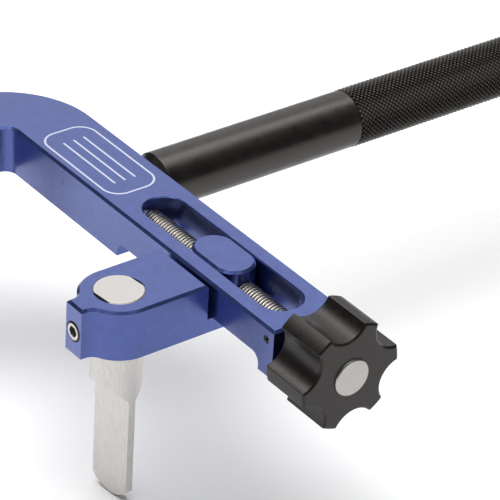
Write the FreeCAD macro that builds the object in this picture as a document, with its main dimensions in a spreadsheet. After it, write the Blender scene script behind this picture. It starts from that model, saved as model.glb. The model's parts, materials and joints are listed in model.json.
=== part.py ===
"""Adjustable two-blade holding wrench: a slotted beam with one fixed blade, a screw-driven
arm that carries the second blade, a star knob on the lead screw and a long knurled handle.

Frame: millimetres, +Z up. The origin is on the beam's flat underside, below the handle's axis
and midway across the beam. +X runs along the beam to the knob, +Y runs out along the handle,
and the blades point down, to -Z.
"""

import FreeCAD, Part

import math
import os
import re

import Sketcher

Vector = FreeCAD.Vector
Placement = FreeCAD.Placement
Rotation = FreeCAD.Rotation

# ---------------------------------------------------------------- driving dimensions

SIZES = {
    # beam: a milled bar, bent at its far end into the fixed arm
    "beam_width": 31.0,
    "beam_height": 20.0,
    "beam_end": 119.0,
    "beam_chamfer": 1.0,
    "bend_radius": 40.0,
    "inner_corner_radius": 5.0,
    # both arms end in the same boss, with a narrower nose for the set screw
    "arm_width": 30.0,
    "blade_offset": 46.4,
    "fixed_blade_x": -66.0,
    "nose_width": 9.6,
    "nose_reach": 19.2,
    "neck_radius": 5.0,
    # slot for the guide block, and the recess under it for the arm's tongue
    "slot_start": 22.8,
    "slot_end": 110.4,
    "slot_width": 17.0,
    "slot_chamfer": 0.5,
    "recess_start": 23.0,
    "recess_end": 111.0,
    "recess_depth": 6.0,
    "recess_radius": 4.0,
    # sliding arm
    "arm_rest_x": 68.0,
    "arm_rise": 0.4,
    "arm_chamfer": 1.0,
    "side_gap": 2.1,
    "tongue_gap": 0.15,
    "tongue_setback": 0.5,
    "block_length": 28.0,
    "block_gap": 0.1,
    "block_rise": 0.3,
    "block_chamfer": 1.0,
    # blades: a round shank milled down to a thin flat blade
    "shank_radius": 9.525,
    "shank_gap": 0.05,
    "shank_proud": 0.7,
    "shank_edge": 0.4,
    "flat_distance": 8.33,
    "flat_end_height": 0.5,
    "blade_thickness": 3.1,
    "blade_start_depth": 23.0,
    "blade_tip_depth": 68.0,
    "blade_tip_radius": 12.6,
    "runout_angle": 45.0,
    "moving_blade_turn": 6.0,
    # set screws in the noses
    "set_screw_radius": 4.0,
    "set_screw_height": 9.4,
    "set_screw_proud": 0.3,
    "set_screw_seat_gap": 0.45,
    "set_screw_key": 4.0,
    "set_screw_key_depth": 4.5,
    "set_screw_edge": 0.6,
    "thread_gap": 0.05,
    # lead screw
    "screw_radius": 5.0,
    "screw_gap": 0.05,
    "screw_in_wall": 8.0,
    "screw_end_gap": 1.0,
    "screw_end_edge": 0.8,
    "hub_radius": 7.35,
    "hub_proud": 0.8,
    "hub_edge": 0.4,
    # spring pin that holds the screw by its groove
    "groove_depth": 1.8,
    "groove_gap": 0.06,
    "retainer_radius": 1.6,
    "retainer_hollow": 0.8,
    "retainer_slit": 0.4,
    "retainer_inset": 4.15,
    "retainer_length": 22.0,
    "retainer_sink": 0.3,
    # knob and its thrust washer
    "washer_thickness": 1.2,
    "washer_radius": 8.4,
    "washer_gap": 0.1,
    "knob_start_gap": 3.2,
    "knob_thickness": 21.9,
    "knob_radius": 21.2,
    "knob_lobes": 6,
    "knob_turn": 8.0,
    "scallop_radius": 9.1,
    "scallop_distance": 24.8,
    "knob_edge": 0.7,
    "knob_boss_radius": 12.5,
    # handle
    "handle_radius": 11.65,
    "handle_plain": 94.5,
    "grip_radius": 11.9,
    "grip_length": 130.0,
    "handle_tail": 5.5,
    "handle_chamfer": 2.0,
    "stud_radius": 6.0,
    "stud_in_beam": 18.0,
    "stud_in_handle": 20.0,
    "stud_end_gap": 1.0,
    "stud_edge": 1.0,
    "drill_half_angle": 59.0,
}

doc = FreeCAD.newDocument("holding_wrench")
sheet = doc.addObject("Spreadsheet::Sheet", "Sizes")
for row, (alias, value) in enumerate(SIZES.items(), start=1):
    sheet.set(f"A{row}", alias)
    sheet.set(f"B{row}", str(value))
    sheet.setAlias(f"B{row}", alias)
doc.recompute()

# places worked out from the driving dimensions
PIN_Y = "(-blade_offset)"
FRONT = "(-beam_width / 2)"
BACK = "(beam_width / 2)"
SCREW_Z = "(beam_height / 2)"
TIP_Z = "(-blade_tip_depth)"
BLADE_TOP = "(beam_height + shank_proud)"
BORE_RADIUS = "(shank_radius + shank_gap)"
SET_SCREW_TIP = "(flat_distance + set_screw_seat_gap)"
SCREW_START = "(slot_start - screw_in_wall)"
WASHER_END = "(beam_end + washer_thickness)"
KNOB_START = "(beam_end + knob_start_gap)"
KNOB_END = "(beam_end + knob_start_gap + knob_thickness)"
RETAINER_X = "(beam_end - retainer_inset)"
GROOVE_RADIUS = "(screw_radius - groove_depth)"
RETAINER_Z = f"({SCREW_Z} + {GROOVE_RADIUS} + groove_gap + retainer_radius)"
HANDLE_LENGTH = "(handle_plain + grip_length + handle_tail)"
TONGUE_TOP = "(recess_depth - tongue_gap)"
ARM_WALL = f"({FRONT} - side_gap - {PIN_Y})"
REACH = 400.0


def bound(expression):
    """The expression with each alias written as a cell of the sheet."""
    def cell(match):
        word = match.group(0)
        return f"Sizes.{word}" if word in SIZES else word

    return re.sub(r"[a-z_]+", cell, str(expression))


def number(expression):
    """The expression's value now."""
    value = sheet.evalExpression(bound(expression))
    return float(getattr(value, "Value", value))


def drive(item, prop, expression):
    """Binds a property of an object to the sheet."""
    item.setExpression(prop, bound(expression))


# ---------------------------------------------------------------- sketch helpers


def new_body(label):
    body = doc.addObject("PartDesign::Body", label)
    body.Label = label
    return body


def datum(body, role):
    """One of the body's own origin planes or axes."""
    return next(f for f in body.Origin.OriginFeatures if f.Role == role)


def new_sketch(body, role, height=0):
    """A sketch on one of the body's own origin planes, moved along that plane's normal."""
    sketch = body.newObject("Sketcher::SketchObject", "Sketch")
    sketch.AttachmentSupport = [(datum(body, role), "")]
    sketch.MapMode = "FlatFace"
    if height:
        drive(sketch, "AttachmentOffset.Base.z", height)
    return sketch


def place_point(sketch, geometry, end, point):
    """Ties one end of a curve to two expressions, counted from the sketch's origin."""
    for kind, expression in zip(("DistanceX", "DistanceY"), point):
        tie(sketch, kind, geometry, end, expression)


def tie(sketch, kind, geometry, end, expression):
    index = sketch.addConstraint(
        Sketcher.Constraint(kind, -1, 1, geometry, end, number(expression))
    )
    drive(sketch, f"Constraints[{index}]", expression)


def outline(sketch, points, arcs=()):
    """A closed outline through the points. arcs maps the index of a stretch to the arc that
    takes its place: (centre x, centre y, which way it turns)."""
    arcs = dict(arcs)
    spots = [Vector(number(x), number(y), 0) for x, y in points]
    ends = []
    for i, start in enumerate(spots):
        stop = spots[(i + 1) % len(spots)]
        if i in arcs:
            ends.append(arc(sketch, start, stop, *arcs[i]))
        else:
            ends.append((sketch.addGeometry(Part.LineSegment(start, stop), False), 1, 2))
    for i, (geometry, first, last) in enumerate(ends):
        following, joined, _ = ends[(i + 1) % len(ends)]
        sketch.addConstraint(
            Sketcher.Constraint("Coincident", geometry, last, following, joined)
        )
        place_point(sketch, geometry, first, points[i])


def arc(sketch, start, stop, centre_x, centre_y, turn):
    """An arc between two points, with its centre tied where the points leave it free."""
    centre = Vector(number(centre_x), number(centre_y), 0)
    angles = [math.atan2(p.y - centre.y, p.x - centre.x) for p in (start, stop)]
    if turn == "right":
        angles.reverse()
    whole = Part.Circle(centre, Vector(0, 0, 1), (start - centre).Length)
    geometry = sketch.addGeometry(Part.ArcOfCircle(whole, *angles), False)
    chord = stop - start
    if abs(chord.x) < abs(chord.y):
        tie(sketch, "DistanceX", geometry, 3, centre_x)
    else:
        tie(sketch, "DistanceY", geometry, 3, centre_y)
    return (geometry, 1, 2) if turn == "left" else (geometry, 2, 1)


def circle(sketch, centre, radius):
    spot = Vector(number(centre[0]), number(centre[1]), 0)
    geometry = sketch.addGeometry(Part.Circle(spot, Vector(0, 0, 1), number(radius)), False)
    place_point(sketch, geometry, 3, centre)
    index = sketch.addConstraint(Sketcher.Constraint("Radius", geometry, number(radius)))
    drive(sketch, f"Constraints[{index}]", radius)


def rectangle(sketch, low, high):
    outline(sketch, [low, (high[0], low[1]), high, (low[0], high[1])])


def stadium(sketch, start, end, width, middle="0"):
    """A round-ended slot along x, centred on y = middle."""
    half = f"({width} / 2)"
    near_x, far_x = f"({start} + {half})", f"({end} - {half})"
    low, high = f"({middle} - {half})", f"({middle} + {half})"
    points = [(near_x, low), (far_x, low), (far_x, high), (near_x, high)]
    outline(sketch, points, {1: (far_x, middle, "left"), 3: (near_x, middle, "left")})


# ---------------------------------------------------------------- feature helpers


def solid_volume(body):
    doc.recompute()
    return body.Shape.Volume


def pad(body, sketch, length, backwards=False, midplane=False):
    feature = body.newObject("PartDesign::Pad", "Pad")
    feature.Profile = sketch
    feature.Reversed = backwards
    feature.SideType = "Symmetric" if midplane else "One side"
    drive(feature, "Length", length)
    doc.recompute()
    return feature


def pocket(body, sketch, length=None, backwards=False, midplane=False):
    """Cuts the sketch away, and makes sure that it really removed material."""
    before = solid_volume(body)
    feature = body.newObject("PartDesign::Pocket", "Pocket")
    feature.Profile = sketch
    feature.Reversed = backwards
    feature.SideType = "Symmetric" if midplane else "One side"
    if length is None:
        feature.Length = REACH
    else:
        drive(feature, "Length", length)
    if not solid_volume(body) < before - 1e-3:
        raise RuntimeError(f"{feature.Name} in {body.Label} removes nothing: {feature.State}")
    return feature


def dress(body, kind, edges, size):
    """A fillet or chamfer on the named edges of the body's shape so far."""
    base = body.Tip
    feature = body.newObject(f"PartDesign::{kind}", kind)
    feature.Base = (base, edges)
    drive(feature, "Radius" if kind == "Fillet" else "Size", size)
    doc.recompute()
    if "Invalid" in feature.State:
        raise RuntimeError(f"{feature.Name} in {body.Label} failed")
    return feature


def pick_edges(body, wanted):
    """Names of the edges whose every sampled point passes the test."""
    doc.recompute()
    names = []
    for index, edge in enumerate(body.Tip.Shape.Edges, start=1):
        first, last = edge.ParameterRange
        points = [edge.valueAt(first + (last - first) * k / 4) for k in range(5)]
        if all(wanted(p) for p in points):
            names.append(f"Edge{index}")
    if not names:
        raise RuntimeError(f"no edge found in {body.Label}")
    return names


def near(a, b):
    return abs(a - b) < 1e-4


def turned(label, profile):
    """A piece turned on a lathe: a closed half-section of (along, radius), spun about x."""
    body = new_body(label)
    sketch = new_sketch(body, "XY_Plane")
    outline(sketch, profile)
    feature = body.newObject("PartDesign::Revolution", "Turning")
    feature.Profile = sketch
    feature.ReferenceAxis = (sketch, ["H_Axis"])
    feature.Angle = 360.0
    doc.recompute()
    return body


def put(body, position, rotation=None):
    """Places a body by expressions for x, y and z."""
    if rotation is not None:
        body.Placement = Placement(Vector(0, 0, 0), rotation)
    for axis, expression in zip("xyz", position):
        drive(body, f"Placement.Base.{axis}", expression)
    doc.recompute()


ALONG_Y = Rotation(Vector(0, 0, 1), 90)

# ---------------------------------------------------------------- pieces


def blade_boss_holes(body, centre):
    """The vertical bore for a blade's shank and the tapped hole from the nose into it."""
    x, y = centre
    bore = new_sketch(body, "XY_Plane")
    circle(bore, centre, BORE_RADIUS)
    pocket(body, bore, backwards=True)
    tapped = new_sketch(body, "XZ_Plane", height=f"-({y} - nose_reach)")
    circle(tapped, (x, "set_screw_height"), "set_screw_radius + thread_gap")
    pocket(body, tapped, length="nose_reach - shank_radius / 2")


def add_nose(body, centre, height):
    """The narrow nose beyond the boss, blended into it by two hollow fillets."""
    x, y = centre
    nose = new_sketch(body, "XY_Plane")
    rectangle(nose, (f"{x} - nose_width / 2", f"{y} - nose_reach"), (f"{x} + nose_width / 2", y))
    pad(body, nose, height)
    middle, level, half = number(x), number(y), number("nose_width / 2")
    meets = level - math.sqrt(number("arm_width / 2") ** 2 - half ** 2)
    corners = pick_edges(
        body, lambda p: near(abs(p.x - middle), half) and near(p.y, meets)
    )
    dress(body, "Fillet", corners, "neck_radius")


def make_beam():
    body = new_body("beam")
    outer, inner = "(fixed_blade_x - arm_width / 2)", "(fixed_blade_x + arm_width / 2)"
    bend_x, bend_y = f"({outer} + bend_radius)", f"({BACK} - bend_radius)"
    shape = new_sketch(body, "XY_Plane")
    points = [
        ("beam_end", FRONT),
        ("beam_end", BACK),
        (bend_x, BACK),
        (outer, bend_y),
        (outer, PIN_Y),
        (inner, PIN_Y),
        (inner, FRONT),
    ]
    arcs = {
        2: (bend_x, bend_y, "left"),
        4: ("fixed_blade_x", PIN_Y, "left"),
    }
    outline(shape, points, arcs)
    pad(body, shape, "beam_height")
    add_nose(body, ("fixed_blade_x", PIN_Y), "beam_height")
    corner = pick_edges(body, lambda p: near(p.x, number(inner)) and near(p.y, number(FRONT)))
    dress(body, "Fillet", corner, "inner_corner_radius")
    top = number("beam_height")
    dress(body, "Chamfer", pick_edges(body, lambda p: near(p.z, top)), "beam_chamfer")

    recess = new_sketch(body, "XZ_Plane")
    rectangle(recess, ("recess_start", "-recess_depth"), ("recess_end", "recess_depth"))
    pocket(body, recess, midplane=True)
    roof = number("recess_depth")
    ends = (number("recess_start"), number("recess_end"))
    corners = pick_edges(body, lambda p: near(p.z, roof) and any(near(p.x, e) for e in ends))
    dress(body, "Fillet", corners, "recess_radius")
    slot = new_sketch(body, "XY_Plane")
    stadium(slot, "slot_start", "slot_end", "slot_width")
    pocket(body, slot, backwards=True)
    inside = number("slot_width / 2") + 1e-3
    rim = pick_edges(body, lambda p: near(p.z, top) and abs(p.y) < inside)
    dress(body, "Chamfer", rim, "slot_chamfer")

    blade_boss_holes(body, ("fixed_blade_x", PIN_Y))
    screw_bore = new_sketch(body, "YZ_Plane", height=f"{SCREW_START} - screw_end_gap")
    circle(screw_bore, ("0", SCREW_Z), "screw_radius + screw_gap")
    pocket(body, screw_bore, backwards=True)
    retainer_hole = new_sketch(body, "XZ_Plane", height="beam_width / 2")
    circle(retainer_hole, (RETAINER_X, RETAINER_Z), "retainer_radius")
    pocket(body, retainer_hole, length="retainer_length + retainer_sink + stud_end_gap")
    stud_hole = new_sketch(body, "XZ_Plane", height="-beam_width / 2")
    circle(stud_hole, ("0", SCREW_Z), "stud_radius + thread_gap")
    pocket(body, stud_hole, length="stud_in_beam + stud_end_gap", backwards=True)
    put(body, ("0", "0", "0"))
    return body


def make_sliding_arm():
    """Local origin on the blade's axis, at the level of the beam's underside."""
    body = new_body("sliding_arm")
    half, height = "(arm_width / 2)", "(beam_height + arm_rise)"
    shape = new_sketch(body, "XY_Plane")
    points = [(half, ARM_WALL), (f"-{half}", ARM_WALL), (f"-{half}", "0"), (half, "0")]
    outline(shape, points, {2: ("0", "0", "left")})
    pad(body, shape, height)
    add_nose(body, ("0", "0"), height)
    top = number(height)
    dress(body, "Chamfer", pick_edges(body, lambda p: near(p.z, top)), "arm_chamfer")
    tongue = new_sketch(body, "XY_Plane")
    rectangle(
        tongue, (f"-{half}", f"{ARM_WALL} - arm_chamfer"),
        (half, f"{BACK} - {PIN_Y} - tongue_setback"),
    )
    pad(body, tongue, TONGUE_TOP)
    guide = new_sketch(body, "XY_Plane")
    block_width = "(slot_width - 2 * block_gap)"
    middle = f"(-{PIN_Y})"
    stadium(guide, "-block_length / 2", "block_length / 2", block_width, middle)
    pad(body, guide, "beam_height + block_rise")
    block_top = number("beam_height + block_rise")
    rim = pick_edges(body, lambda p: near(p.z, block_top))
    dress(body, "Chamfer", rim, "block_chamfer")

    blade_boss_holes(body, ("0", "0"))
    nut_bore = new_sketch(body, "YZ_Plane")
    circle(nut_bore, (middle, SCREW_Z), "screw_radius + screw_gap")
    pocket(body, nut_bore, midplane=True)
    put(body, ("arm_rest_x", PIN_Y, "0"))
    return body


def make_blade(label, x, turn):
    """A round shank with two seats for the set screw, milled to a thin blade with a round tip.
    Local origin on its axis, at the level of the beam's underside."""
    body = new_body(label)
    stock = new_sketch(body, "XY_Plane", height=TIP_Z)
    circle(stock, ("0", "0"), "shank_radius")
    pad(body, stock, f"{BLADE_TOP} - {TIP_Z}")
    top = number(BLADE_TOP)
    dress(body, "Chamfer", pick_edges(body, lambda p: near(p.z, top)), "shank_edge")
    outside, half = "(shank_radius + 1)", "(blade_thickness / 2)"
    below = f"({TIP_Z} - 1)"
    shoulder = "(-blade_start_depth)"
    slope_top = f"({shoulder} + ({outside} - {half}) * tan(runout_angle))"
    for side in ("", "-"):
        flank = new_sketch(body, "YZ_Plane")
        outline(flank, [
            (f"{side}{half}", below),
            (f"{side}{outside}", below),
            (f"{side}{outside}", slope_top),
            (f"{side}{half}", shoulder),
        ])
        pocket(body, flank, midplane=True)
        seat = new_sketch(body, "YZ_Plane")
        outline(seat, [
            (f"{side}flat_distance", "flat_end_height"),
            (f"{side}{outside}", "flat_end_height"),
            (f"{side}{outside}", f"{BLADE_TOP} + 1"),
            (f"{side}flat_distance", f"{BLADE_TOP} + 1"),
        ])
        pocket(body, seat, midplane=True)
    tip = new_sketch(body, "XZ_Plane")
    rise = f"({TIP_Z} + blade_tip_radius - sqrt(blade_tip_radius^2 - {outside}^2))"
    outline(
        tip,
        [(f"-{outside}", rise), (outside, rise), (outside, below), (f"-{outside}", below)],
        {0: ("0", f"{TIP_Z} + blade_tip_radius", "left")},
    )
    pocket(body, tip, midplane=True)
    put(body, (x, PIN_Y, "0"))
    if turn:
        drive(body, "Placement.Rotation.Angle", turn)
    return body


def make_set_screw(label, x):
    """A socket set screw, turned along x and then laid along y with its point on the blade."""
    length = f"(nose_reach + set_screw_proud - {SET_SCREW_TIP})"
    edge = "set_screw_edge"
    radius = "set_screw_radius"
    body = turned(label, [
        ("0", "0"),
        (length, "0"),
        (length, f"{radius} - {edge}"),
        (f"{length} - {edge}", radius),
        (edge, radius),
        ("0", f"{radius} - {edge}"),
    ])
    socket = new_sketch(body, "YZ_Plane")
    corner = "(set_screw_key / sqrt(3))"
    points = [
        (f"{corner} * cos({60 * k})", f"{corner} * sin({60 * k})") for k in range(6)
    ]
    outline(socket, points)
    pocket(body, socket, length="set_screw_key_depth", backwards=True)
    put(body, (x, f"{PIN_Y} - nose_reach - set_screw_proud", "set_screw_height"), ALONG_Y)
    return body


def make_lead_screw():
    """Thread at its full diameter, retaining groove and the hub inside the knob."""
    groove_start = f"({RETAINER_X} - retainer_radius - groove_gap)"
    groove_end = f"({RETAINER_X} + retainer_radius + groove_gap)"
    face = f"({KNOB_END} + hub_proud)"
    body = turned("lead_screw", [
        (SCREW_START, "0"),
        (face, "0"),
        (face, "hub_radius - hub_edge"),
        (f"{face} - hub_edge", "hub_radius"),
        (WASHER_END, "hub_radius"),
        (WASHER_END, "screw_radius"),
        (groove_end, "screw_radius"),
        (groove_end, GROOVE_RADIUS),
        (groove_start, GROOVE_RADIUS),
        (groove_start, "screw_radius"),
        (f"{SCREW_START} + screw_end_edge", "screw_radius"),
        (SCREW_START, "screw_radius - screw_end_edge"),
    ])
    put(body, ("0", "0", SCREW_Z))
    return body


def make_knob():
    """A star knob with scallops between its lobes, bored for the screw's hub."""
    body = new_body("knob")
    blank = new_sketch(body, "YZ_Plane")
    circle(blank, ("0", "0"), "knob_radius")
    pad(body, blank, "knob_thickness")
    scallop = new_sketch(body, "YZ_Plane")
    start = "(180 / knob_lobes)"
    circle(
        scallop,
        (f"scallop_distance * cos({start})", f"scallop_distance * sin({start})"),
        "scallop_radius",
    )
    first = pocket(body, scallop, backwards=True)
    pattern = body.newObject("PartDesign::PolarPattern", "Scallops")
    pattern.Originals = [first]
    pattern.Axis = (datum(body, "X_Axis"), [""])
    pattern.Angle = 360.0
    drive(pattern, "Occurrences", "knob_lobes")
    body.Tip = pattern
    doc.recompute()
    ends = (0.0, number("knob_thickness"))
    rims = pick_edges(body, lambda p: any(near(p.x, e) for e in ends))
    dress(body, "Chamfer", rims, "knob_edge")
    boss = new_sketch(body, "YZ_Plane")
    circle(boss, ("0", "0"), "knob_boss_radius")
    pad(body, boss, "knob_start_gap - washer_thickness", backwards=True)
    bore = new_sketch(body, "YZ_Plane")
    circle(bore, ("0", "0"), "hub_radius")
    pocket(body, bore, midplane=True)
    put(body, (KNOB_START, "0", SCREW_Z), Rotation(Vector(1, 0, 0), number("knob_turn")))
    drive(body, "Placement.Rotation.Angle", "knob_turn")
    doc.recompute()
    return body


def make_thrust_washer():
    body = turned("thrust_washer", [
        ("0", "screw_radius + washer_gap"),
        ("washer_thickness", "screw_radius + washer_gap"),
        ("washer_thickness", "washer_radius"),
        ("0", "washer_radius"),
    ])
    put(body, ("beam_end", "0", SCREW_Z))
    return body


def make_retaining_pin():
    """A slit spring pin, driven in from the beam's front across the screw's groove."""
    body = turned("screw_retaining_pin", [
        ("0", "retainer_hollow"),
        ("retainer_length", "retainer_hollow"),
        ("retainer_length", "retainer_radius"),
        ("0", "retainer_radius"),
    ])
    slit = new_sketch(body, "XY_Plane")
    rectangle(
        slit, ("-1", "-retainer_slit / 2"), ("retainer_length + 1", "retainer_slit / 2")
    )
    pocket(body, slit, length="retainer_radius + 1", backwards=True)
    put(body, (RETAINER_X, f"{FRONT} + retainer_sink", RETAINER_Z), ALONG_Y)
    return body


def make_handle_bar():
    """A solid bar, drilled and tapped at the beam's end, with a knurled grip."""
    end, edge = HANDLE_LENGTH, "handle_chamfer"
    grip_start, grip_end = "handle_plain", "(handle_plain + grip_length)"
    step = "(grip_radius - handle_radius)"
    socket = "(stud_in_handle + stud_end_gap)"
    socket_radius = "(stud_radius + thread_gap)"
    body = turned("handle_bar", [
        ("0", socket_radius),
        (socket, socket_radius),
        (f"{socket} + {socket_radius} / tan(drill_half_angle)", "0"),
        (end, "0"),
        (end, f"handle_radius - {edge}"),
        (f"{end} - {edge}", "handle_radius"),
        (f"{grip_end} + {step}", "handle_radius"),
        (grip_end, "grip_radius"),
        (grip_start, "grip_radius"),
        (f"{grip_start} - {step}", "handle_radius"),
        (edge, "handle_radius"),
        ("0", f"handle_radius - {edge}"),
    ])
    put(body, ("0", BACK, SCREW_Z), ALONG_Y)
    return body


def make_handle_stud():
    length = "(stud_in_beam + stud_in_handle)"
    body = turned("handle_stud", [
        ("0", "0"),
        (length, "0"),
        (length, "stud_radius - stud_edge"),
        (f"{length} - stud_edge", "stud_radius"),
        ("stud_edge", "stud_radius"),
        ("0", "stud_radius - stud_edge"),
    ])
    put(body, ("0", f"{BACK} - stud_in_beam", SCREW_Z), ALONG_Y)
    return body


PIECES = [
    make_beam(),
    make_sliding_arm(),
    make_blade("fixed_blade", "fixed_blade_x", None),
    make_blade("moving_blade", "arm_rest_x", "moving_blade_turn"),
    make_set_screw("fixed_blade_set_screw", "fixed_blade_x"),
    make_set_screw("moving_blade_set_screw", "arm_rest_x"),
    make_lead_screw(),
    make_knob(),
    make_thrust_washer(),
    make_retaining_pin(),
    make_handle_bar(),
    make_handle_stud(),
]

doc.recompute()

for item in doc.Objects:
    if {"Invalid", "Error"} & set(item.State):
        raise RuntimeError(f"{item.Name} ({item.Label}) failed: {item.State}")
for piece in PIECES:
    shape = piece.Shape
    if shape.isNull() or not shape.isValid() or len(shape.Solids) != 1:
        raise RuntimeError(f"{piece.Label} is not one valid solid")

os.makedirs("parts", exist_ok=True)
for piece in PIECES:
    piece.Shape.exportStep(os.path.join("parts", f"{piece.Label}.step"))
    box = piece.Shape.BoundBox
    print(
        f"{piece.Label:24s} {piece.Shape.Volume / 1000:9.2f} cm3"
        f"  x {box.XMin:8.2f} {box.XMax:8.2f}  y {box.YMin:8.2f} {box.YMax:8.2f}"
        f"  z {box.ZMin:8.2f} {box.ZMax:8.2f}"
    )
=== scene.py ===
"""Looks for the adjustable two-blade holding wrench: machined and anodised beam and arm, milled
steel blades, a rolled lead screw, a moulded star knob and a knurled black bar.

Metres, in the wrench's own frame: +X along the beam to the knob, +Y out along the handle, +Z up.
Places along the pieces come from the frame's own boxes. The sizes of the thread, the knurl, the
groove and the broken edges, which no box gives, are set below.
"""

import json
import math

import bmesh
import bpy
from mathutils import Euler, Matrix, Vector


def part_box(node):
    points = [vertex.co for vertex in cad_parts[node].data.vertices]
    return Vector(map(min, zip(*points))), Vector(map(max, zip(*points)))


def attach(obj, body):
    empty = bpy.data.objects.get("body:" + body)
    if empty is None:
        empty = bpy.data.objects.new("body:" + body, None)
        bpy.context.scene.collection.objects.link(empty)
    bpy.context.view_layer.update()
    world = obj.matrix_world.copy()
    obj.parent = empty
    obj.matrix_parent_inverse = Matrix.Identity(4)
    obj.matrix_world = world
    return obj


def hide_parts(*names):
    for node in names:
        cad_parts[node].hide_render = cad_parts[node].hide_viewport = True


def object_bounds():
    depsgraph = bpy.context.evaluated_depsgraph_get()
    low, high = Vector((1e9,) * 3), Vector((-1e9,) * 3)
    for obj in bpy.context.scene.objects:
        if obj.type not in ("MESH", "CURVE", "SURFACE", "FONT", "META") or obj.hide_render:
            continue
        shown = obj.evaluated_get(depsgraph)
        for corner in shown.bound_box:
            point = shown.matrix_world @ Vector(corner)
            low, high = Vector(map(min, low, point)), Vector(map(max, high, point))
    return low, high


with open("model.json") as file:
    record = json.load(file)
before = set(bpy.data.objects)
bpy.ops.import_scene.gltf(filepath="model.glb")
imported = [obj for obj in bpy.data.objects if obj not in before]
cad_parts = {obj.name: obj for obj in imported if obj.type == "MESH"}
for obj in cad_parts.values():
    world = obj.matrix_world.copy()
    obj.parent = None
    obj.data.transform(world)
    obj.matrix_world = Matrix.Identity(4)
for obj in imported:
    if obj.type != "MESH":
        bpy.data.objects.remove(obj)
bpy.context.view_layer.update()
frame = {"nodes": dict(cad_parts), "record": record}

MM = 0.001
NODES = frame["nodes"]
BODY_OF = {
    node: body
    for body, nodes in frame["record"]["behaviour"]["bodies"].items()
    for node in nodes
}

# ---------------------------------------------------------------- places read from the frame

SCREW_LOW, SCREW_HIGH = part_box("lead_screw")
KNOB_LOW, KNOB_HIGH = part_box("knob")
BAR_LOW, BAR_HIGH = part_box("handle_bar")
WASHER_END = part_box("thrust_washer")[1].x
PIN_LOW, PIN_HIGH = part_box("screw_retaining_pin")

AXIS_Z = (KNOB_LOW.z + KNOB_HIGH.z) / 2
SCREW_AXIS = Vector((0, 0, AXIS_Z))
BAR_AXIS = Vector((0, 0, (BAR_LOW.z + BAR_HIGH.z) / 2))
PIN_AXIS = (PIN_LOW + PIN_HIGH) / 2
BEAM_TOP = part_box("beam")[1].z

# the bar: its plain length, the socket for its stud, and its knurl
BAR_RADIUS = 11.65 * MM
BAR_CHAMFER = 2.0 * MM
BAR_SIDES = 128
BAR_SOCKET_RADIUS = 6.05 * MM
BAR_SOCKET_DEPTH = 21.0 * MM
GRIP_CREST = 11.9 * MM
GRIP_VALLEY = 11.42 * MM
GRIP_CORE = 11.0 * MM
GRIP_PITCH = 2.0 * MM
GRIP_FROM_BEAM = 94.5 * MM
GRIP_LENGTH = 130.0 * MM
GRIP_FLANK = 0.42 * MM

# the lead screw: its thread, the plain core under it, its groove and its hub
THREAD_PITCH = 1.5 * MM
THREAD_CREST = 5.0 * MM
THREAD_ROOT = 4.08 * MM
THREAD_START_EDGE = 0.8 * MM
THREAD_STEPS = 32
THREAD_LEAD_IN = 2.4 * THREAD_PITCH
THREAD_RUNOUT = 2.0 * MM
CORE_RELIEF = 0.3 * MM
HUB_FACE_EDGE = 0.4 * MM
GROOVE_RADIUS = 3.2 * MM
GROOVE_GAP = 0.06 * MM

# how much each piece's sharp edges are broken
BLUE_EDGE = 0.18 * MM
BLADE_EDGE = 0.12 * MM
SET_SCREW_EDGE = 0.1 * MM
KNOB_EDGE = 0.2 * MM
BAR_EDGE = 0.12 * MM
NECK_EDGE = 0.06 * MM
WASHER_EDGE = 0.1 * MM
STUD_EDGE = 0.05 * MM
PIN_EDGE = 0.08 * MM

# ---------------------------------------------------------------- mesh helpers

SHARP_ANGLE = math.radians(28)
SMOOTH_ANGLE = math.radians(40)
THREAD_SMOOTH_ANGLE = math.radians(20)
FLAT_ANGLE = math.radians(0.4)
TURNED_SIDES = 96
LAY_ALONG_X = Euler((0, math.pi / 2, 0))
LAY_ALONG_Y = Euler((-math.pi / 2, 0, 0))


def deselect():
    if bpy.context.object and bpy.context.object.mode != "OBJECT":
        bpy.ops.object.mode_set(mode="OBJECT")
    bpy.ops.object.select_all(action="DESELECT")


def activate(piece):
    deselect()
    piece.select_set(True)
    bpy.context.view_layer.objects.active = piece


def named(piece, name):
    piece.name = name
    piece.data.name = name
    return piece


def settle(piece):
    """Puts the piece's place into its mesh, so that its object sits at the origin."""
    activate(piece)
    bpy.ops.object.transform_apply(location=True, rotation=True, scale=True)
    return piece


def edit(piece, domain="FACE", chosen="DESELECT"):
    """Opens the piece in edit mode, with nothing or everything selected."""
    activate(piece)
    bpy.ops.object.mode_set(mode="EDIT")
    bpy.ops.mesh.select_mode(type=domain)
    bpy.ops.mesh.select_all(action=chosen)
    return bmesh.from_edit_mesh(piece.data)


def leave(piece):
    bpy.ops.object.mode_set(mode="OBJECT")
    return piece


def face_outwards(piece):
    edit(piece, chosen="SELECT")
    bpy.ops.mesh.normals_make_consistent(inside=False)
    return leave(piece)


def pick(piece, mesh, items, wanted):
    """Selects the faces, edges or vertices that pass the test."""
    for item in items:
        item.select_set(bool(wanted(item)))
    mesh.select_flush_mode()
    bmesh.update_edit_mesh(piece.data)


def add_modifier(piece, kind, **settings):
    activate(piece)
    modifier = piece.modifiers.new(kind.title(), kind)
    for key, value in settings.items():
        setattr(modifier, key, value)
    bpy.ops.object.modifier_apply(modifier=modifier.name)
    return piece


def smooth(piece, angle):
    activate(piece)
    bpy.ops.object.shade_smooth_by_angle(angle=angle)
    return piece


def soften(piece, width):
    """Breaks the sharp edges, as deburring does, and shades the rest smooth."""
    add_modifier(
        smooth(piece, SHARP_ANGLE), "BEVEL", width=width, segments=2, limit_method="ANGLE",
        angle_limit=SHARP_ANGLE, miter_outer="MITER_ARC",
    )
    smooth(piece, SMOOTH_ANGLE)
    return add_modifier(piece, "WEIGHTED_NORMAL", keep_sharp=True, weight=100)


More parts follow.
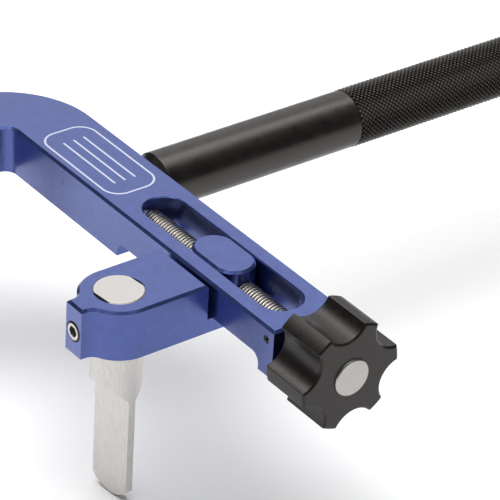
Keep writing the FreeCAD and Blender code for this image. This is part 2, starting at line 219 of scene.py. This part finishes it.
def machined_copy(node, edge):
    """A merged copy of a CAD node with its flats made whole and its edges broken."""
    piece = bpy.data.objects.new(f"{node}_finished", NODES[node].data.copy())
    bpy.context.scene.collection.objects.link(piece)
    edit(piece, "VERT", "SELECT")
    bpy.ops.mesh.remove_doubles(threshold=0.002 * MM)
    bpy.ops.mesh.customdata_custom_splitnormals_clear()
    bpy.ops.mesh.dissolve_limited(angle_limit=FLAT_ANGLE, delimit={"NORMAL"})
    leave(piece)
    return soften(piece, edge)


def turned_piece(name, middle, turn, stations, sides=TURNED_SIDES):
    """A turned piece: a disc that is extruded and scaled from one station to the next.

    middle is the axis's start, turn lays +Z along the axis, and a station is (place along the
    axis, radius).
    """
    along = turn.to_matrix() @ Vector((0, 0, 1))
    (place, radius), *rest = stations
    deselect()
    bpy.ops.mesh.primitive_circle_add(
        vertices=sides, radius=radius, fill_type="NGON",
        location=middle + along * place, rotation=turn,
    )
    piece = settle(named(bpy.context.object, name))
    edit(piece, chosen="SELECT")
    for next_place, next_radius in rest:
        step = along * (next_place - place)
        bpy.ops.mesh.extrude_region_move(TRANSFORM_OT_translate={"value": step})
        if next_radius != radius:
            size = next_radius / radius
            bpy.ops.transform.resize(
                value=(size, size, size), center_override=middle + along * next_place
            )
        place, radius = next_place, next_radius
    return face_outwards(piece)


def join(piece, other):
    """Joins the other piece into the first."""
    activate(piece)
    other.select_set(True)
    bpy.ops.object.join()
    return piece


def cut_square(piece, place, axis, keep_below):
    """Cuts the piece off square at a place along an axis and closes the cut."""
    edit(piece, chosen="SELECT")
    bpy.ops.mesh.bisect(
        plane_co=place, plane_no=axis, use_fill=True, threshold=0.0001 * MM,
        clear_outer=keep_below, clear_inner=not keep_below,
    )
    return leave(piece)


def coat(piece, material):
    piece.data.materials.clear()
    piece.data.materials.append(material)
    return piece


def finish_piece(piece, node):
    """Gives the piece the body of its CAD node, and hides the node that the piece replaces."""
    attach(piece, BODY_OF[node])
    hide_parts(node)


def finish_machined(node, edge, material):
    """Replaces a CAD node with its machined copy in this material."""
    finish_piece(coat(machined_copy(node, edge), material), node)


# ---------------------------------------------------------------- material helpers


class Tree:
    """A node tree with short calls for making and joining its nodes."""

    def __init__(self, tree):
        self.tree = tree

    def node(self, kind, **settings):
        item = self.tree.nodes.new(kind)
        for key, value in settings.items():
            setattr(item, key, value)
        return item

    def link(self, output, socket):
        self.tree.links.new(output, socket)

    def feed(self, socket, value):
        if isinstance(value, bpy.types.NodeSocket):
            self.link(value, socket)
        else:
            socket.default_value = value

    def math(self, operation, first, second=0.0, clamp=False):
        item = self.node("ShaderNodeMath", operation=operation, use_clamp=clamp)
        self.feed(item.inputs[0], first)
        self.feed(item.inputs[1], second)
        return item.outputs[0]

    def vector(self, operation, first, second=(0, 0, 0)):
        item = self.node("ShaderNodeVectorMath", operation=operation)
        self.feed(item.inputs[0], first)
        self.feed(item.inputs[1], second)
        return item.outputs[0]

    def length(self, value):
        item = self.node("ShaderNodeVectorMath", operation="LENGTH")
        self.link(value, item.inputs[0])
        return item.outputs["Value"]

    def joined(self, **parts):
        """A vector from the named parts, X, Y or Z."""
        item = self.node("ShaderNodeCombineXYZ")
        for key, value in parts.items():
            self.link(value, item.inputs[key])
        return item.outputs["Vector"]

    def part(self, value, name):
        """One part of a vector: X, Y or Z."""
        item = self.node("ShaderNodeSeparateXYZ")
        self.link(value, item.inputs[0])
        return item.outputs[name]

    def noise(self, place, scale, detail=3.0, roughness=0.55):
        item = self.node("ShaderNodeTexNoise")
        self.link(place, item.inputs["Vector"])
        self.feed(item.inputs["Scale"], scale)
        item.inputs["Detail"].default_value = detail
        item.inputs["Roughness"].default_value = roughness
        return item.outputs["Fac"]

    def spread(self, value, low, high, out_low=0.0, out_high=1.0):
        item = self.node("ShaderNodeMapRange")
        for key, number in (
            ("From Min", low), ("From Max", high), ("To Min", out_low), ("To Max", out_high)
        ):
            self.feed(item.inputs[key], number)
        self.feed(item.inputs["Value"], value)
        return item.outputs["Result"]

    def mix(self, factor, first, second):
        item = self.node("ShaderNodeMix", data_type="RGBA")
        self.feed(item.inputs["Factor"], factor)
        self.feed(item.inputs["A"], first)
        self.feed(item.inputs["B"], second)
        return item.outputs["Result"]

    def bump(self, height, strength, distance, normal=None):
        item = self.node("ShaderNodeBump")
        item.inputs["Strength"].default_value = strength
        item.inputs["Distance"].default_value = distance
        self.link(height, item.inputs["Height"])
        if normal is not None:
            self.link(normal, item.inputs["Normal"])
        return item.outputs["Normal"]


def new_group(name, inputs, outputs):
    """A shader node group. inputs are (name, kind, default), outputs are (name, kind)."""
    group = bpy.data.node_groups.new(name, "ShaderNodeTree")
    for label, kind, default in inputs:
        socket = group.interface.new_socket(label, in_out="INPUT", socket_type=kind)
        socket.default_value = default
    for label, kind in outputs:
        group.interface.new_socket(label, in_out="OUTPUT", socket_type=kind)
    tree = Tree(group)
    return tree, tree.node("NodeGroupInput").outputs, tree.node("NodeGroupOutput").inputs


FLOAT = "NodeSocketFloat"
PLACE = "NodeSocketVector"


def build_grain_group():
    """Fine even grain: a height for the bump and a mottling of the finish."""
    tree, given, out = new_group(
        "fine_grain",
        [
            ("Place", PLACE, (0, 0, 0)), ("Fine Scale", FLOAT, 9000.0),
            ("Mottle Scale", FLOAT, 400.0),
        ],
        [("Height", FLOAT), ("Mottle", FLOAT)],
    )
    fine = tree.noise(given["Place"], given["Fine Scale"], detail=3.0, roughness=0.5)
    mottle = tree.noise(given["Place"], given["Mottle Scale"], detail=4.0, roughness=0.5)
    tree.link(fine, out["Height"])
    tree.link(tree.spread(mottle, 0.3, 0.7), out["Mottle"])
    return tree.tree


def build_turning_group():
    """Rings round an axis through Centre: the marks of a tool on a turned face or barrel."""
    tree, given, out = new_group(
        "turning_marks",
        [
            ("Place", PLACE, (0, 0, 0)), ("Centre", PLACE, (0, 0, 0)),
            ("Across", PLACE, (1, 1, 0)), ("Rings Per Metre", FLOAT, 9000.0),
        ],
        [("Rings", FLOAT), ("Radius", FLOAT)],
    )
    offset = tree.vector("SUBTRACT", given["Place"], given["Centre"])
    radius = tree.length(tree.vector("MULTIPLY", offset, given["Across"]))
    ring = tree.joined(X=tree.math("MULTIPLY", radius, given["Rings Per Metre"]))
    tree.link(tree.noise(ring, 1.0, detail=4.0, roughness=0.7), out["Rings"])
    tree.link(radius, out["Radius"])
    return tree.tree


def build_streaks_group():
    """Long streaks along one axis, as milling, drawing or brushing leaves."""
    tree, given, out = new_group(
        "long_streaks",
        [("Place", PLACE, (0, 0, 0)), ("Stretch", PLACE, (1, 1, 1))],
        [("Streaks", FLOAT)],
    )
    place = tree.vector("MULTIPLY", given["Place"], given["Stretch"])
    tree.link(tree.noise(place, 1.0, detail=5.0, roughness=0.65), out["Streaks"])
    return tree.tree


def build_wear_group():
    """A mask that is 1 on worn corners and 0 on flats, broken up by noise."""
    tree, given, out = new_group(
        "edge_wear",
        [("Place", PLACE, (0, 0, 0)), ("Low", FLOAT, 0.52), ("High", FLOAT, 0.62)],
        [("Wear", FLOAT)],
    )
    pointed = tree.node("ShaderNodeNewGeometry").outputs["Pointiness"]
    edge = tree.spread(pointed, given["Low"], given["High"])
    patchy = tree.spread(tree.noise(given["Place"], 900.0, detail=3.0), 0.35, 0.65, 0.4, 1.0)
    tree.link(tree.math("MULTIPLY", edge, patchy, clamp=True), out["Wear"])
    return tree.tree


def build_mark_group():
    """A plain etched nameplate: a rounded frame round three bars, 1 on its lines."""
    tree, given, out = new_group(
        "etched_frame",
        [
            ("Place", PLACE, (0, 0, 0)), ("Centre", PLACE, (0, 0, 0)),
            ("Half Size", PLACE, (0.02, 0.01, 0)), ("Corner", FLOAT, 0.005),
            ("Line", FLOAT, 0.0004), ("Bar Gap", FLOAT, 0.005), ("Bar Half Length", FLOAT, 0.01),
        ],
        [("Mark", FLOAT)],
    )
    offset = tree.vector("SUBTRACT", given["Place"], given["Centre"])
    offset = tree.vector("ABSOLUTE", tree.vector("MULTIPLY", offset, (1, 1, 0)))
    corner = tree.joined(X=given["Corner"], Y=given["Corner"])
    core = tree.vector("SUBTRACT", given["Half Size"], corner)
    beyond = tree.vector("MAXIMUM", tree.vector("SUBTRACT", offset, core), (0, 0, 0))
    past_corner = tree.math("SUBTRACT", tree.length(beyond), given["Corner"])
    from_line = tree.math("ABSOLUTE", past_corner)
    across = tree.part(offset, "Y")
    to_outer_bar = tree.math("ABSOLUTE", tree.math("SUBTRACT", across, given["Bar Gap"]))
    from_bar = tree.math("MINIMUM", across, to_outer_bar)
    past_end = tree.math("SUBTRACT", tree.part(offset, "X"), given["Bar Half Length"])
    from_bar = tree.math("MAXIMUM", from_bar, past_end)
    nearest = tree.math("MINIMUM", from_line, from_bar)
    soft_line = tree.math("MULTIPLY", given["Line"], 1.3)
    tree.link(tree.spread(nearest, given["Line"], soft_line, 1.0, 0.0), out["Mark"])
    return tree.tree


GRAIN = build_grain_group()
TURNING = build_turning_group()
STREAKS = build_streaks_group()
WEAR = build_wear_group()
MARK = build_mark_group()


class Finish(Tree):
    """A material with one Principled BSDF and the piece's own coordinates."""

    def __init__(self, name, **constants):
        self.material = bpy.data.materials.new(name)
        self.material.use_nodes = True
        super().__init__(self.material.node_tree)
        self.shader = self.tree.nodes["Principled BSDF"]
        for key, value in constants.items():
            self.set(key.replace("_", " ").title().replace("Ior", "IOR"), value)
        self.place = self.node("ShaderNodeTexCoord").outputs["Object"]

    def set(self, socket, value):
        self.feed(self.shader.inputs[socket], value)

    def group(self, tree, **values):
        item = self.node("ShaderNodeGroup", node_tree=tree)
        self.link(self.place, item.inputs["Place"])
        for key, value in values.items():
            self.feed(item.inputs[key.replace("_", " ").title()], value)
        return item.outputs

    def striped(self, marks, dark, light):
        """A colour that goes from dark to light with the height of the marks."""
        return self.mix(self.spread(marks, 0.3, 0.7), dark, light)

    def mottled(self, grain, low, high):
        """A roughness that drifts between two values with the mottling."""
        self.set("Roughness", self.spread(grain["Mottle"], 0.0, 1.0, low, high))


# ---------------------------------------------------------------- materials


# base colours: each finish has a darker and a lighter tone
BLUE_DEEP = (0.046, 0.074, 0.270, 1)
BLUE_DEEP_MOTTLED = (0.054, 0.086, 0.300, 1)
BLUE_BRIGHT = (0.066, 0.100, 0.335, 1)
BLUE_BRIGHT_MOTTLED = (0.076, 0.114, 0.365, 1)
ETCHED_SILVER = (0.52, 0.54, 0.66, 1)
MILLED_DARK = (0.48, 0.46, 0.445, 1)
MILLED_BRIGHT = (0.76, 0.74, 0.72, 1)
DULL_END_GRAIN = (0.36, 0.35, 0.34, 1)
TURNED_DARK = (0.8, 0.785, 0.76)  # shares of the tone that a turned piece is given
TURNED_BRIGHT = (1.08, 1.06, 1.03)
# painted shade: a near-black ring for the shade in a set screw's thread and at its hole's edge
PAINTED_RIM_SHADE = (0.04, 0.036, 0.032, 1)
THREAD_DARK = (0.74, 0.71, 0.66, 1)
THREAD_BRIGHT = (0.90, 0.87, 0.82, 1)
# painted shade for the thread's roots
PAINTED_ROOT_SHADE = (0.030, 0.024, 0.020, 1)
BRONZE_DARK = (0.42, 0.24, 0.10, 1)
BRONZE_BRIGHT = (0.58, 0.36, 0.16, 1)
BRONZE_DULLED = (0.24, 0.13, 0.06, 1)
MOULDED_BLACK = (0.0060, 0.0048, 0.0042, 1)
MOULDED_BLACK_MOTTLED = (0.0095, 0.0078, 0.0070, 1)
MOULDED_SPECK = (0.045, 0.041, 0.038, 1)
OXIDE_BLACK = (0.0040, 0.0032, 0.0028, 1)
OXIDE_BLACK_MOTTLED = (0.0080, 0.0068, 0.0060, 1)
# lighter oxide: rubbed edges, and the painted highlight on the knurl's crests
OXIDE_WORN_AND_HIGHLIT = (0.085, 0.078, 0.070, 1)

# height of the marks, for the bump
BLAST_HEIGHT = 0.03 * MM
TOOL_MARK_HEIGHT = 0.03 * MM
THREAD_GRAIN_HEIGHT = 0.02 * MM
MOULD_GRAIN_HEIGHT = 0.08 * MM
OXIDE_GRAIN_HEIGHT = 0.04 * MM

# the directions across an axis, in which the rings of turning are counted
ACROSS_X = (0, 1, 1)
ACROSS_Y = (1, 0, 1)
ACROSS_Z = (1, 1, 0)

# the etched nameplate on the beam's top
MARK_CENTRE = (-11.0 * MM, -1.0 * MM, 0)
MARK_HALF_SIZE = (25.5 * MM, 11.0 * MM, 0)
MARK_CORNER = 7.0 * MM
MARK_LINE = 0.36 * MM
MARK_BAR_GAP = 4.6 * MM
MARK_BAR_HALF_LENGTH = 17.0 * MM
MARK_DEPTH = 0.05 * MM


def anodised_blue(name, mark=False):
    """Satin blue anodised aluminium: a fine matt grain under a clear oxide skin."""
    finish = Finish(name, metallic=0.93, coat_weight=0.75, coat_roughness=0.24)
    grain = finish.group(GRAIN, fine_scale=3200.0, mottle_scale=260.0)
    dark = finish.mix(grain["Mottle"], BLUE_DEEP, BLUE_DEEP_MOTTLED)
    light = finish.mix(grain["Mottle"], BLUE_BRIGHT, BLUE_BRIGHT_MOTTLED)
    tone = finish.mix(finish.spread(grain["Height"], 0.35, 0.65), dark, light)
    roughness = finish.spread(grain["Mottle"], 0.0, 1.0, 0.27, 0.33)
    if mark:
        lines = finish.group(
            MARK, centre=MARK_CENTRE, half_size=MARK_HALF_SIZE, corner=MARK_CORNER,
            line=MARK_LINE, bar_gap=MARK_BAR_GAP, bar_half_length=MARK_BAR_HALF_LENGTH,
        )["Mark"]
        height = finish.part(finish.place, "Z")
        on_top = finish.spread(height, BEAM_TOP - 2 * MARK_DEPTH, BEAM_TOP - MARK_DEPTH)
        etched = finish.math("MULTIPLY", lines, on_top)
        tone = finish.mix(etched, tone, ETCHED_SILVER)
        roughness = finish.math("MAXIMUM", roughness, finish.math("MULTIPLY", etched, 0.5))
    finish.set("Base Color", tone)
    finish.set("Roughness", roughness)
    finish.set("Normal", finish.bump(grain["Height"], 0.2, BLAST_HEIGHT))
    return finish.material


def milled_steel(name, centre):
    """Bright steel, drawn along the blade, with rings on its turned top face."""
    finish = Finish(name, metallic=1.0)
    turning = finish.group(TURNING, centre=centre, across=ACROSS_Z, rings_per_metre=2200.0)
    streaks = finish.group(STREAKS, stretch=(9000.0, 9000.0, 240.0))["Streaks"]
    normal = finish.node("ShaderNodeNewGeometry").outputs["Normal"]
    level = finish.spread(finish.math("ABSOLUTE", finish.part(normal, "Z")), 0.9, 0.98)
    rings_on_top = finish.math("MULTIPLY", turning["Rings"], level)
    upright = finish.math("SUBTRACT", 1.0, level)
    marks = finish.math("ADD", rings_on_top, finish.math("MULTIPLY", streaks, upright))
    tone = finish.striped(marks, MILLED_DARK, MILLED_BRIGHT)
    duller_top = finish.math("MULTIPLY", level, 0.35)
    finish.set("Base Color", finish.mix(duller_top, tone, DULL_END_GRAIN))
    finish.set("Roughness", finish.spread(marks, 0.25, 0.75, 0.34, 0.50))
    finish.set("Normal", finish.bump(marks, 0.35, TOOL_MARK_HEIGHT))
    return finish.material


def turned_steel(name, centre, across, tone=0.72, rough=0.32, bright_to=None):
    """Turned steel with rings about its own axis, with painted shade past the radius bright_to,
    if given.
    """
    finish = Finish(name, metallic=1.0)
    turning = finish.group(TURNING, centre=centre, across=across, rings_per_metre=3600.0)
    marks = turning["Rings"]
    grain = finish.group(GRAIN, fine_scale=6000.0, mottle_scale=500.0)
    dark = (*(tone * part for part in TURNED_DARK), 1)
    light = (*(tone * part for part in TURNED_BRIGHT), 1)
    steel = finish.striped(marks, dark, light)
    if bright_to:
        # painted shade on the outer ring of the end, past the radius bright_to
        shaded_rim = finish.spread(turning["Radius"], bright_to, bright_to + 0.1 * MM)
        steel = finish.mix(shaded_rim, steel, PAINTED_RIM_SHADE)
    finish.set("Base Color", steel)
    finish.mottled(grain, rough * 0.85, rough * 1.2)
    finish.set("Normal", finish.bump(marks, 0.35, TOOL_MARK_HEIGHT))
    return finish.material


def rolled_thread_steel(name):
    """Rolled thread: burnished crests, and roots darkened with painted shade."""
    finish = Finish(name, metallic=1.0)
    radius = finish.group(TURNING, centre=SCREW_AXIS, across=ACROSS_X)["Radius"]
    grain = finish.group(GRAIN, fine_scale=5200.0, mottle_scale=420.0)
    steel = finish.mix(grain["Mottle"], THREAD_DARK, THREAD_BRIGHT)
    height = finish.spread(radius, THREAD_ROOT + 0.3 * MM, THREAD_CREST - 0.05 * MM)
    # painted shade: darker from the crests down into the roots
    finish.set("Base Color", finish.mix(height, PAINTED_ROOT_SHADE, steel))
    finish.mottled(grain, 0.28, 0.40)
    finish.set("Normal", finish.bump(grain["Height"], 0.12, THREAD_GRAIN_HEIGHT))
    return finish.material


def turned_bronze(name):
    """Plain bearing bronze, turned, a little dulled by oil."""
    finish = Finish(name, metallic=1.0)
    turning = finish.group(TURNING, centre=SCREW_AXIS, across=ACROSS_X, rings_per_metre=4200.0)
    marks = turning["Rings"]
    grain = finish.group(GRAIN, fine_scale=6000.0, mottle_scale=700.0)
    bright = finish.striped(marks, BRONZE_DARK, BRONZE_BRIGHT)
    oiled = finish.spread(grain["Mottle"], 0.5, 1.0, 0.0, 0.5)
    finish.set("Base Color", finish.mix(oiled, bright, BRONZE_DULLED))
    finish.mottled(grain, 0.30, 0.48)
    finish.set("Normal", finish.bump(marks, 0.3, TOOL_MARK_HEIGHT))
    return finish.material


def black_moulding(name):
    """Satin black moulded plastic: a near-black body under a fine spark-eroded skin."""
    finish = Finish(name, specular_ior_level=0.42, specular_tint=(1.0, 0.95, 0.92, 1.0))
    grain = finish.group(GRAIN, fine_scale=2600.0, mottle_scale=300.0)
    body = finish.mix(grain["Mottle"], MOULDED_BLACK, MOULDED_BLACK_MOTTLED)
    speck = finish.spread(grain["Height"], 0.58, 0.75, 0.0, 0.35)
    finish.set("Base Color", finish.mix(speck, body, MOULDED_SPECK))
    finish.mottled(grain, 0.27, 0.36)
    finish.set("Normal", finish.bump(grain["Height"], 0.75, MOULD_GRAIN_HEIGHT))
    return finish.material


def black_oxide(name, gloss):
    """Blackened steel: a dark satin skin over fine turning marks; edges rubbed, knurl crests
    rubbed and given a painted highlight.
    """
    finish = Finish(
        name, metallic=0.25, specular_ior_level=gloss, specular_tint=(1.0, 0.96, 0.93, 1.0)
    )
    grain = finish.group(GRAIN, fine_scale=4200.0, mottle_scale=180.0)
    rings = finish.group(STREAKS, stretch=(60.0, 7000.0, 60.0))["Streaks"]
    wear = finish.group(WEAR, low=0.53, high=0.66)["Wear"]
    radius = finish.group(TURNING, centre=BAR_AXIS, across=ACROSS_Y)["Radius"]
    # painted highlight, with rubbing: the knurl's diamond tops are lighter
    knurl_crest_highlight = finish.spread(radius, GRIP_CREST - 0.12 * MM, GRIP_CREST - 0.03 * MM, 0.0, 0.8)
    skin = finish.mix(grain["Mottle"], OXIDE_BLACK, OXIDE_BLACK_MOTTLED)
    worn_and_highlit = finish.math("MAXIMUM", knurl_crest_highlight, finish.math("MULTIPLY", wear, 0.35))
    finish.set("Base Color", finish.mix(worn_and_highlit, skin, OXIDE_WORN_AND_HIGHLIT))
    finish.mottled(grain, 0.26, 0.36)
    fine = finish.bump(grain["Height"], 0.22, OXIDE_GRAIN_HEIGHT)
    finish.set("Normal", finish.bump(rings, 0.15, TOOL_MARK_HEIGHT, fine))
    return finish.material


# ---------------------------------------------------------------- stage, lights and camera

FLOOR_DROP = 0.5 * MM
FLOOR_SIZE = 6.0
FLOOR_TONE = (0.93, 0.93, 0.93, 1.0)
CAMERA_AIM = Vector((0.05869, 0.01945, 0.010))
CAMERA_DISTANCE = 1.13863
CAMERA_AZIMUTH = math.radians(51.39)
CAMERA_ELEVATION = math.radians(32.28)
CAMERA_ROLL = math.radians(3.58)
CAMERA_SENSOR = 36.0
CAMERA_LENS = 221.0
CAMERA_CLIP = 0.05
ROOM_LIGHT = 0.09
PALE_BACKDROP = 0.95
LIGHT_AIM = Vector((0.04, 0.02, 0.0))
# name, place, width and height, power
SOFTBOXES = (
    ("key_softbox", (-0.7, -0.4, 1.6), (1.0, 1.0), 8.0),
    ("back_softbox", (-1.15, 1.0, 1.0), (2.6, 1.8), 13.5),
    ("top_softbox", (-0.1, 0.1, 2.0), (2.4, 2.4), 56.0),
)


def build_camera():
    data = bpy.data.cameras.new("camera")
    data.sensor_width = CAMERA_SENSOR
    data.lens = CAMERA_LENS
    data.clip_start = CAMERA_CLIP
    camera = bpy.data.objects.new("camera", data)
    bpy.context.scene.collection.objects.link(camera)
    aimed = Euler((math.pi / 2 - CAMERA_ELEVATION, 0, CAMERA_AZIMUTH)).to_matrix().to_4x4()
    turn = aimed @ Matrix.Rotation(CAMERA_ROLL, 4, "Z")
    backwards = turn @ Vector((0, 0, 1))
    camera.matrix_world = Matrix.Translation(CAMERA_AIM + backwards * CAMERA_DISTANCE) @ turn
    bpy.context.scene.camera = camera


def add_softbox(name, place, size, power):
    data = bpy.data.lights.new(name, "AREA")
    data.shape = "RECTANGLE"
    data.size, data.size_y = size
    data.energy = power
    lamp = bpy.data.objects.new(name, data)
    bpy.context.scene.collection.objects.link(lamp)
    lamp.location = place
    lamp.rotation_euler = (LIGHT_AIM - Vector(place)).to_track_quat("-Z", "Y").to_euler()


def build_world():
    """A dim room for the metal to mirror, which the camera itself sees as pale."""
    world = bpy.data.worlds.new("studio")
    world.use_nodes = True
    room = Tree(world.node_tree)
    background = world.node_tree.nodes["Background"]
    seen = room.node("ShaderNodeLightPath").outputs["Is Camera Ray"]
    background.inputs["Color"].default_value = (1.0, 1.0, 1.0, 1.0)
    strength = room.spread(seen, 0.0, 1.0, ROOM_LIGHT, PALE_BACKDROP)
    room.link(strength, background.inputs["Strength"])
    bpy.context.scene.world = world


def build_studio():
    for softbox in SOFTBOXES:
        add_softbox(*softbox)
    build_world()
    bpy.context.scene.view_settings.view_transform = "Standard"


def build_floor():
    deselect()
    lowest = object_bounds()[0][2]
    bpy.ops.mesh.primitive_plane_add(size=FLOOR_SIZE, location=(0, 0, lowest - FLOOR_DROP))
    floor = settle(named(bpy.context.object, "floor"))
    paint = Finish("pale_floor", roughness=0.85, base_color=FLOOR_TONE)
    coat(floor, paint.material)


# ---------------------------------------------------------------- pieces

# width of the ring of painted shade round each set screw's end
SET_SCREW_SHADED_RIM = 0.85 * MM
SET_SCREW_TONE = 0.62
HUB_TONE = 0.46
SPRING_PIN_TONE = 0.10
PLAIN_BAR_GLOSS = 0.85
KNURL_GLOSS = 0.36


def make_thread(start, end):
    """A rolled thread: one tooth's outline, swept round the axis once for each pitch."""
    turns = math.ceil((end - start) / THREAD_PITCH) + 4
    root_flat, crest_flat = THREAD_PITCH / 4, THREAD_PITCH / 8
    flank = (THREAD_PITCH - root_flat - crest_flat) / 2
    tooth = THREAD_CREST - THREAD_ROOT
    deselect()
    bpy.ops.mesh.primitive_plane_add(
        size=MM, location=SCREW_AXIS + Vector((start - THREAD_LEAD_IN, 0, 0))
    )
    thread = named(bpy.context.object, "lead_screw_thread")
    edit(thread, "VERT", "SELECT")
    bpy.ops.mesh.merge(type="CENTER")
    bpy.ops.transform.translate(value=(0, 0, THREAD_ROOT))
    for along, out in ((root_flat, 0), (flank, tooth), (crest_flat, 0), (flank, -tooth)):
        bpy.ops.mesh.extrude_vertices_move(TRANSFORM_OT_translate={"value": (along, 0, out)})
    leave(thread)
    add_modifier(
        thread, "SCREW", axis="X", angle=math.tau, screw_offset=THREAD_PITCH, iterations=turns,
        steps=THREAD_STEPS, render_steps=THREAD_STEPS,
    )
    edit(settle(thread), "VERT", "SELECT")
    bpy.ops.mesh.remove_doubles(threshold=0.01 * MM)
    leave(thread)
    cut_square(thread, (start, 0, 0), (1, 0, 0), keep_below=False)
    cut_square(thread, (end, 0, 0), (1, 0, 0), keep_below=True)
    return smooth(face_outwards(thread), THREAD_SMOOTH_ANGLE)


def make_lead_screw():
    """The threaded stretch, the groove that its pin sits in, and the hub inside the knob."""
    groove_start, groove_end = PIN_LOW.x - GROOVE_GAP, PIN_HIGH.x + GROOVE_GAP
    thread_end = groove_start - THREAD_RUNOUT
    start, face = SCREW_LOW.x, SCREW_HIGH.x
    hub = SCREW_HIGH.z - AXIS_Z
    neck = turned_piece("lead_screw_finished", SCREW_AXIS, LAY_ALONG_X, [
        (start, THREAD_CREST - THREAD_START_EDGE), (start + THREAD_START_EDGE, THREAD_ROOT),
        (start + THREAD_RUNOUT, THREAD_ROOT), (thread_end, THREAD_ROOT - CORE_RELIEF),
        (thread_end, THREAD_CREST), (groove_start, THREAD_CREST),
        (groove_start, GROOVE_RADIUS), (groove_end, GROOVE_RADIUS), (groove_end, THREAD_CREST),
        (WASHER_END, THREAD_CREST), (WASHER_END, hub), (face - HUB_FACE_EDGE, hub),
        (face, hub - HUB_FACE_EDGE),
    ])
    steel = turned_steel("screw_steel", SCREW_AXIS, ACROSS_X, tone=HUB_TONE)
    coat(soften(neck, NECK_EDGE), steel)
    thread = make_thread(start + THREAD_START_EDGE, thread_end)
    coat(thread, rolled_thread_steel("rolled_thread_steel"))
    finish_piece(join(neck, thread), "lead_screw")


def make_knurl(start, end):
    """A sleeve of small raised diamonds in crossed rows."""
    around = round(math.tau * GRIP_VALLEY / GRIP_PITCH)
    along = round((end - start) / GRIP_PITCH)
    deselect()
    bpy.ops.mesh.primitive_cylinder_add(
        vertices=around, radius=GRIP_VALLEY, depth=end - start, end_fill_type="NOTHING",
        location=BAR_AXIS + Vector((0, (start + end) / 2, 0)), rotation=LAY_ALONG_Y,
    )
    sleeve = settle(named(bpy.context.object, "handle_knurl"))
    mesh = edit(sleeve, "EDGE")
    pick(sleeve, mesh, mesh.edges, lambda e: abs(e.verts[0].co.y - e.verts[1].co.y) > GRIP_PITCH)
    bpy.ops.mesh.subdivide(number_cuts=along - 1)
    bpy.ops.mesh.select_all(action="SELECT")
    bpy.ops.mesh.poke()
    mesh = edit(leave(sleeve), "EDGE")
    pick(sleeve, mesh, mesh.edges, lambda e: not e.is_boundary
         and all(len(v.link_edges) > 4 for v in e.verts))
    bpy.ops.mesh.dissolve_edges(use_verts=False)
    bpy.ops.mesh.select_mode(type="FACE")
    bpy.ops.mesh.select_all(action="SELECT")
    bpy.ops.mesh.inset(
        thickness=GRIP_FLANK, depth=GRIP_CREST - GRIP_VALLEY, use_individual=True
    )
    for place in (start, end):
        mesh = edit(leave(sleeve), "EDGE")
        pick(sleeve, mesh, mesh.edges, lambda e: e.is_boundary
             and all(abs(v.co.y - place) < 0.01 * MM for v in e.verts))
        bpy.ops.mesh.extrude_edges_move()
        size = GRIP_CORE / GRIP_VALLEY
        bpy.ops.transform.resize(
            value=(size, 1, size), center_override=BAR_AXIS + Vector((0, place, 0))
        )
    mesh = edit(leave(sleeve), "EDGE")
    pick(sleeve, mesh, mesh.edges, lambda e: e.is_boundary)
    bpy.ops.mesh.bridge_edge_loops()
    return face_outwards(leave(sleeve))


def make_handle_bar():
    """A blackened bar, chamfered at both ends, drilled for its stud, with a knurled grip."""
    near, far = BAR_LOW.y, BAR_HIGH.y
    grip_start = near + GRIP_FROM_BEAM
    grip_end = grip_start + GRIP_LENGTH
    bar = turned_piece("handle_bar_finished", BAR_AXIS, LAY_ALONG_Y, [
        (near + BAR_SOCKET_DEPTH, BAR_SOCKET_RADIUS), (near, BAR_SOCKET_RADIUS),
        (near, BAR_RADIUS - BAR_CHAMFER), (near + BAR_CHAMFER, BAR_RADIUS),
        (grip_start, BAR_RADIUS), (grip_start, GRIP_CORE), (grip_end, GRIP_CORE),
        (grip_end, BAR_RADIUS),
        (far - BAR_CHAMFER, BAR_RADIUS), (far, BAR_RADIUS - BAR_CHAMFER),
    ], sides=BAR_SIDES)
    coat(soften(bar, BAR_EDGE), black_oxide("black_oxide_bar", PLAIN_BAR_GLOSS))
    knurl = make_knurl(grip_start, grip_end)
    coat(knurl, black_oxide("black_oxide_knurl", KNURL_GLOSS))
    finish_piece(join(bar, knurl), "handle_bar")


def make_blue_pieces():
    marked_blue = anodised_blue("marked_blue_anodised_aluminium", mark=True)
    finish_machined("beam", BLUE_EDGE, marked_blue)
    blue = anodised_blue("blue_anodised_aluminium")
    finish_machined("sliding_arm", BLUE_EDGE, blue)


def make_blades():
    for node in ("fixed_blade", "moving_blade"):
        low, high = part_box(node)
        centre = ((low.x + high.x) / 2, (low.y + high.y) / 2, 0)
        finish_machined(node, BLADE_EDGE, milled_steel(f"{node}_steel", centre))


def make_set_screws():
    for node in ("fixed_blade_set_screw", "moving_blade_set_screw"):
        low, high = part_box(node)
        centre = ((low.x + high.x) / 2, 0, (low.z + high.z) / 2)
        bright_to = (high.x - low.x) / 2 - SET_SCREW_SHADED_RIM
        steel = turned_steel(
            f"{node}_steel", centre, ACROSS_Y, tone=SET_SCREW_TONE, bright_to=bright_to
        )
        finish_machined(node, SET_SCREW_EDGE, steel)


def make_small_turned_pieces():
    """The washer behind the knob, the stud inside the bar and the pin across the screw."""
    finish_machined("thrust_washer", WASHER_EDGE, turned_bronze("washer_bronze"))
    stud_steel = turned_steel("stud_steel", BAR_AXIS, ACROSS_Y)
    finish_machined("handle_stud", STUD_EDGE, stud_steel)
    spring_steel = turned_steel(
        "dark_spring_steel", PIN_AXIS, ACROSS_Y, tone=SPRING_PIN_TONE, rough=0.26
    )
    finish_machined("screw_retaining_pin", PIN_EDGE, spring_steel)


make_blue_pieces()
make_blades()
make_set_screws()
finish_machined("knob", KNOB_EDGE, black_moulding("black_moulded_knob"))
make_handle_bar()
make_lead_screw()
make_small_turned_pieces()

build_floor()
build_studio()
build_camera()
